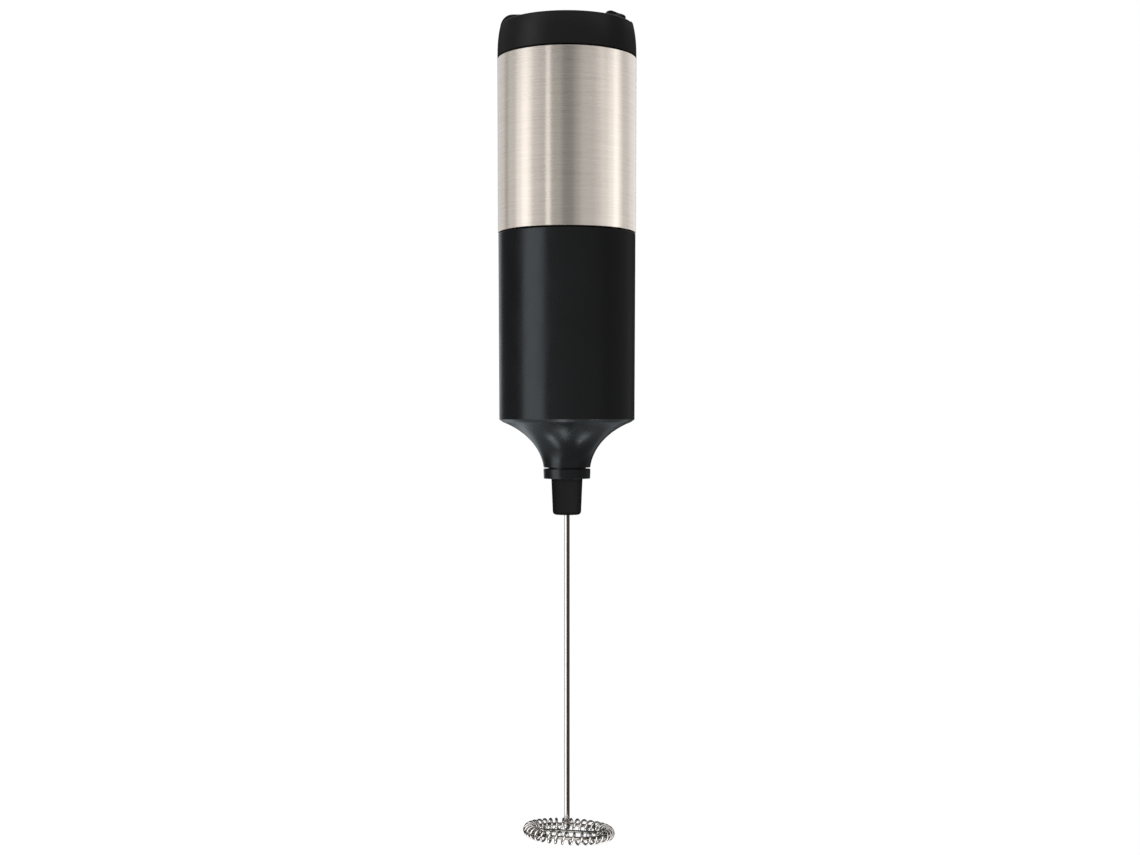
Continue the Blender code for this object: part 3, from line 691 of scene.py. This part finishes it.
def coil_path(steps):
    """Points of the coil's wire, wound round the ring, each with two directions across the wire."""
    up = Vector((0.0, 0.0, 1.0))
    points = []
    for i in range(steps):
        around = math.tau * (i / steps)
        wind = COIL_TURNS * around + unevenness(around)
        radial = Vector((math.cos(around), math.sin(around), 0.0))
        tangent = Vector((-math.sin(around), math.cos(around), 0.0))
        out = radial * math.cos(wind) + up * math.sin(wind)
        swirl = (up * math.cos(wind) - radial * math.sin(wind)) * COIL_R * COIL_TURNS
        along = swirl + tangent * (RING_R + COIL_R * math.cos(wind))
        points.append((radial * RING_R + out * COIL_R, out, along.normalized().cross(out)))
    return points


def make_coil():
    """The fine wire that is wound round the hoop."""
    path = coil_path(COIL_TURNS * COIL_POINTS_PER_TURN)
    coil = closed_tube("whisk_spring", path, COIL_WIRE_R, COIL_SIDES)
    coil.data.transform(ring_matrix())
    return coil


def make_hoop():
    """The wire circle inside the coil, with the bar across it."""
    sides = 12
    step = 360 / sides
    section = arc((RING_R, 0.0), (HOOP_WIRE_R, HOOP_WIRE_R), 360, step, sides - 1)
    hoop = lathe("whisk_frame", section, 128)
    bar_section = arc((0.0, 0.0), (BAR_R, BAR_R), 0, 360 - step, sides - 1)
    bar = extrude("tool_bar", bar_section, -RING_R, RING_R)
    bar.data.transform(Matrix.Rotation(math.radians(90), 4, "Z"))
    combine(hoop, bar, "UNION")
    hoop.data.transform(ring_matrix())
    return hoop


# Studio


def make_camera():
    """A level camera in front, a little to the right of the axis."""
    data = bpy.data.cameras.new("camera")
    data.lens = CAMERA_LENS
    data.sensor_width = 36.0
    data.clip_start = 0.01
    data.clip_end = 50.0
    camera = bpy.data.objects.new("camera", data)
    camera.location = Vector((CAMERA_SIDE, -CAMERA_DISTANCE, CAMERA_HEIGHT)) * MM
    camera.rotation_euler = (math.radians(90), 0.0, 0.0)
    bpy.context.scene.collection.objects.link(camera)
    bpy.context.scene.camera = camera


def receivers(name, objects):
    """A collection of the objects that a set of lights may light."""
    group = bpy.data.collections.new(name)
    for item in objects:
        group.objects.link(item)
    return group


def area_light(name, lit, spot, target, size, radiance, tint=WHITE):
    """A rectangle of even brightness that faces a target. It lights only the given objects."""
    data = bpy.data.lights.new(name, "AREA")
    data.shape = "RECTANGLE"
    data.size, data.size_y = size
    data.energy = radiance * math.pi * size[0] * size[1]
    data.color = tint
    light = bpy.data.objects.new(name, data)
    light.location = spot
    light.rotation_euler = (spot - target).to_track_quat("Z", "Y").to_euler()
    light.visible_camera = False
    light.light_linking.receiver_collection = lit
    bpy.context.scene.collection.objects.link(light)


def panel(name, lit, first, last, radiance, height=70.0, elevation=0.0, tint=WHITE):
    """An upright panel that fills the view from one azimuth to another, as the object sees it.

    Azimuth 0 is the front, and it grows towards +X. All angles are in degrees.
    """
    half_width, half_height = math.radians(last - first) / 2.0, math.radians(height) / 2.0
    turn, lift = math.radians(first + last) / 2.0, math.radians(elevation)
    outward = math.cos(lift)
    towards = Vector((math.sin(turn) * outward, -math.cos(turn) * outward, math.sin(lift)))
    target = Vector((0.0, 0.0, CAMERA_HEIGHT * MM))
    size = (2.0 * math.tan(half_width), 2.0 * math.tan(half_height))
    area_light(name, lit, target + towards, target, size, radiance, tint)


def low_strip(name, lit, x, y, size, radiance, tint=WHITE):
    """A strip that lies one metre below the neck and faces up."""
    spot = Vector((x, y, HOUSING_LOW.z * MM - 1.0))
    nearly_up = Vector((0.0, 0.0001, 1.0))
    area_light(name, lit, spot, spot + nearly_up, size, radiance, tint)


def make_world():
    """A white surround for the view, and a much dimmer one for what the object reflects."""
    world = bpy.data.worlds.new("studio")
    bpy.context.scene.world = world
    world.use_nodes = True
    nodes, links = world.node_tree.nodes, world.node_tree.links
    nodes.clear()
    fill, surround = [nodes.new("ShaderNodeBackground") for _ in range(2)]
    for background, strength in ((fill, 0.06), (surround, 1.0)):
        background.inputs["Color"].default_value = (*WHITE, 1.0)
        background.inputs["Strength"].default_value = strength
    rays = nodes.new("ShaderNodeLightPath")
    mix = nodes.new("ShaderNodeMixShader")
    out = nodes.new("ShaderNodeOutputWorld")
    links.new(rays.outputs["Is Camera Ray"], mix.inputs["Fac"])
    links.new(fill.outputs[0], mix.inputs[1])
    links.new(surround.outputs[0], mix.inputs[2])
    links.new(mix.outputs[0], out.inputs["Surface"])


def make_floor():
    """A plain pale floor, lit from within like a light table. The frother hangs well above it."""
    size = 12000.0
    drop = 600.0
    height = cad_box[0][2] / MM - drop
    bm = bmesh.new()
    bmesh.ops.create_grid(bm, x_segments=8, y_segments=8, size=size / 2)
    bmesh.ops.translate(bm, verts=bm.verts, vec=(0.0, 0.0, height))
    floor = place("floor", bm)
    pale, paler = (0.9, 0.9, 0.9), (0.93, 0.93, 0.93)
    paper = Surface("floor_paper", pale, 0.8)
    tone = paper.scaled(paper.noise(3.0, 2.0), 0.0, 1.0)
    paper.set("Base Color", paper.blended(tone, pale, paler))
    paper.shader.inputs["Emission Color"].default_value = (*WHITE, 1.0)
    paper.shader.inputs["Emission Strength"].default_value = 0.95
    floor.data.materials.append(paper.made)
    floor.visible_glossy = False
    floor.visible_diffuse = False
    floor.visible_shadow = False


def light_steel(lit):
    """Panels all round the sleeve, in degrees of azimuth: broad steps, with a few narrow peaks."""
    steps = (
        (-180.0, -90.0, 0.14), (-90.0, 0.0, 0.14), (0.0, 90.0, 0.14), (90.0, 180.0, 0.14),
        (-165.0, -124.0, 0.62), (-124.0, -114.0, 0.3), (-114.0, -46.0, 0.62), (-104.0, -56.0, 0.35),
        (-92.0, -60.0, 0.5), (-80.0, -66.0, 0.42), (-46.0, -37.0, 0.52), (-35.0, -27.0, 1.35),
        (-26.0, -8.0, 0.36), (-8.0, 12.0, 0.14), (12.0, 22.0, 0.33), (22.0, 48.0, 0.52),
        (48.0, 125.0, 0.66), (58.0, 104.0, 0.22), (72.0, 100.0, 0.28), (84.0, 94.0, 0.5),
        (125.0, 165.0, 0.85),
    )
    for index, (first, last, radiance) in enumerate(steps):
        panel(f"steel_panel_{index + 1}", lit, first, last, radiance)
    panel("steel_top", lit, -50.0, 50.0, 1.2, height=24.0, elevation=62.0)
    low_strip("steel_floor", lit, 0.0, 0.0, (2.0, 2.0), 0.5)


def light_housing(lit):
    """A tall soft light at the left, and strips below the neck for the flare to catch."""
    cool = (0.9, 1.0, 1.08)
    panel("housing_left", lit, -78.0, -38.0, 1.45, height=76.0, tint=cool)
    panel("housing_low_left", lit, -56.0, -34.0, 0.7, height=26.0, elevation=-40.0, tint=cool)
    panel("housing_back_left", lit, -168.0, -145.0, 0.6, tint=cool)
    panel("housing_front", lit, -30.0, 60.0, 0.17)
    panel("housing_right", lit, 60.0, 140.0, 0.1)
    low_strip("housing_floor", lit, 0.0, 0.1, (3.6, 3.0), 0.13, cool)
    low_strip("housing_floor_wide_left", lit, -0.9, 0.3, (1.2, 2.0), 0.12, cool)
    low_strip("housing_floor_left", lit, -0.41, 0.02, (0.17, 0.66), 2.4, cool)
    low_strip("housing_floor_middle", lit, -0.04, 0.22, (0.1, 0.46), 4.2, cool)
    low_strip("housing_floor_right", lit, 0.4, 0.2, (0.13, 0.5), 3.2, cool)
    low_strip("housing_floor_back", lit, 0.0, 2.0, (4.0, 0.8), 0.4, cool)


def light_cap(lit):
    """Panels round the cap, and two above it for its top."""
    panel("cap_left", lit, -80.0, -46.0, 1.08)
    panel("cap_back_left", lit, -140.0, -90.0, 0.12)
    panel("cap_front", lit, -30.0, 60.0, 0.24)
    panel("cap_right", lit, 60.0, 140.0, 0.1)
    panel("cap_top", lit, -60.0, 60.0, 1.0, height=24.0, elevation=60.0)
    panel("cap_top_back", lit, 140.0, 212.0, 0.6, height=50.0, elevation=55.0)


def light_dull(lit):
    """Even light on the hub and the inner pieces."""
    panel("dull_left", lit, -90.0, 0.0, 0.42)
    panel("dull_right", lit, 0.0, 90.0, 0.5)


def light_rod(lit):
    """A bright light at the left only, so that the right half of the rod stays dark."""
    panel("rod_left", lit, -100.0, -18.0, 1.35, height=90.0)
    panel("rod_back_left", lit, -160.0, -110.0, 0.3)
    panel("rod_back_right", lit, 145.0, 172.0, 0.5)


def light_coil(lit):
    """A light in front and one below, so that every turn has a bright core between dark edges."""
    panel("coil_front", lit, -56.0, 36.0, 1.9, height=64.0)
    low_strip("coil_floor", lit, 0.0, -0.25, (1.3, 1.1), 1.7)
    panel("coil_top", lit, -60.0, 60.0, 0.5, height=30.0, elevation=68.0)


# Battery cells


def make_cell(name, node, button_up):
    """One battery cell: rolled edges, and a round button at its positive end."""
    low, high = span(node)
    radius = (high.x - low.x) / 2
    length = high.z - low.z
    shoulder = length - CELL_BUTTON_HEIGHT
    corner = (CELL_EDGE, CELL_EDGE)
    foot = arc((radius - CELL_EDGE, CELL_EDGE), corner, -90, 0, 6)
    head = arc((radius - CELL_EDGE, shoulder - CELL_EDGE), corner, 0, 90, 6)
    bevel = 0.3
    button_side = [(CELL_BUTTON_R, shoulder), (CELL_BUTTON_R, length - bevel)]
    button_top = [(CELL_BUTTON_R - bevel, length), (0.0, length)]
    outline = [(0.0, 0.0), *foot, *head, *button_side, *button_top]
    if not button_up:
        outline = [(r, length - z) for r, z in outline]
    cell = lathe(name, [(r, low.z + z) for r, z in outline], 96)
    cell.data.transform(Matrix.Translation(((low.x + high.x) / 2 * MM, 0.0, 0.0)))
    return cell


def make_cells():
    """Two cells side by side, one each way up, each in its own wrap."""
    left_low, left_high = span("battery_left")
    right_low, right_high = span("battery_right")
    up_wrap = cell_wrap("cell_wrap_up", left_high.z, left_low.z)
    down_wrap = cell_wrap("cell_wrap_down", right_low.z, right_high.z)
    up = make_cell("battery_cell_up", "battery_left", True)
    down = make_cell("battery_cell_down", "battery_right", False)
    return [
        dress(up, "housing", up_wrap, "cell_wrap", "battery_left"),
        dress(down, "housing", down_wrap, "cell_wrap", "battery_right"),
    ]


# Making it all


def dress_inner_nodes():
    """The hidden pieces keep their CAD shape and get their own materials."""
    inner_light, inner_dark = (0.035, 0.035, 0.038), (0.022, 0.022, 0.024)
    inner = moulded_plastic("inner_plastic", inner_light, inner_dark, 0.52, 0.004, 0.5)
    plated = sheet_metal("plated_sheet", (0.62, 0.61, 0.58), 0.32)
    can_steel = sheet_metal("can_steel", (0.5, 0.5, 0.49), 0.36)
    brass = sheet_metal("contact_brass", (0.66, 0.46, 0.2), 0.3)
    copper = wound_copper("winding_copper")
    bronze = sintered("bush_bronze", (0.42, 0.27, 0.13), 0.45, 1.0)
    ferrite = sintered("magnet_ferrite", (0.06, 0.06, 0.065), 0.55, 0.2)
    iron = sintered("core_iron", (0.3, 0.3, 0.31), 0.45, 1.0)
    rubber = soft_plastic("seal_rubber", (0.018, 0.018, 0.018), 0.7)
    red = soft_plastic("red_insulation", (0.45, 0.02, 0.015), 0.42)
    dark = soft_plastic("dark_insulation", (0.02, 0.02, 0.022), 0.42)
    spring = drawn_steel("spring_wire", (0.62, 0.6, 0.57), 0.22, EVEN)
    surfaces = {
        "battery_cradle": inner, "motor_end_bell": inner, "front_motor_holder": inner,
        "rear_motor_holder": inner, "sleeve_liner": inner, "shaft_seal": rubber,
        "lower_spring_contact": spring, "lower_plate_contact": plated, "motor_can": can_steel,
        "front_bush": bronze, "rear_bush": bronze, "magnet_front": ferrite, "magnet_back": ferrite,
        "brush_arm_negative": brass, "brush_arm_positive": brass, "lead_wire_positive": red,
        "lead_wire_negative": dark, "armature_core": iron, "winding_1": copper, "winding_2": copper,
        "winding_3": copper, "commutator": brass, "motor_shaft": spring,
        "cap_contact_positive": plated, "cap_contact_negative": plated, "switch_bridge": brass,
    }
    for node, surface in surfaces.items():
        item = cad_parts[node]
        item.data.materials.clear()
        item.data.materials.append(surface)
    return [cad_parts[node] for node in surfaces]


def main():
    bpy.context.scene.view_settings.view_transform = "Standard"
    make_camera()
    make_world()
    make_floor()
    inner = dress_inner_nodes()
    cells = make_cells()

    housing_light, housing_dark = (0.015, 0.0155, 0.016), (0.012, 0.0122, 0.0125)
    cap_light, cap_dark = (0.014, 0.014, 0.014), (0.011, 0.011, 0.011)
    hub_light, hub_dark = (0.018, 0.018, 0.018), (0.014, 0.014, 0.014)
    housing_black = moulded_plastic("housing_plastic", housing_light, housing_dark, 0.28, 0.0012, 0.5)
    cap_black = moulded_plastic("cap_plastic", cap_light, cap_dark, 0.42, 0.0025, 0.35)
    hub_black = moulded_plastic("hub_plastic", hub_light, hub_dark, 0.55, 0.003, 0.35)
    steel = brushed_steel("brushed_steel")
    rod_steel = drawn_steel("rod_steel", (0.78, 0.75, 0.72), 0.14)
    coil_steel = drawn_steel("coil_steel", (0.8, 0.77, 0.74), 0.1, EVEN)
    # The hoop and its bar get a darker copy of the wire steel. This is painted shade for the bar and
    # hoop, which lie in shadow inside the coil.
    shaded_hoop_steel = drawn_steel("shaded_hoop_steel", (0.42, 0.4, 0.38), 0.24, EVEN)

    shells = [
        dress(make_housing(), "housing", housing_black, "housing_plastic", "lower_housing"),
        dress(make_collar(), "housing", housing_black, "housing_plastic", "nose_collar"),
    ]
    caps = [
        dress(make_cap(), "cover", cap_black, "cap_plastic", "top_cap"),
        dress(make_knob(), "switch", cap_black, "cap_plastic", "switch_knob"),
    ]
    hub = dress(make_hub(), "whisk", hub_black, "cap_plastic", "whisk_hub")
    sleeve = dress(make_sleeve(), "cover", steel, "brushed_steel", "steel_sleeve")
    rod = dress(make_rod(), "whisk", rod_steel, "wire_steel", "whisk_rod")
    ring = [
        dress(make_coil(), "whisk", coil_steel, "wire_steel", "whisk_coil"),
        dress(make_hoop(), "whisk", shaded_hoop_steel, "wire_steel", "whisk_hoop"),
    ]
    light_housing(receivers("housing_lit", shells))
    light_cap(receivers("cap_lit", caps))
    light_dull(receivers("dull_lit", [hub, *inner, *cells]))
    light_steel(receivers("steel_lit", [sleeve]))
    light_rod(receivers("rod_lit", [rod]))
    light_coil(receivers("coil_lit", ring))


main()
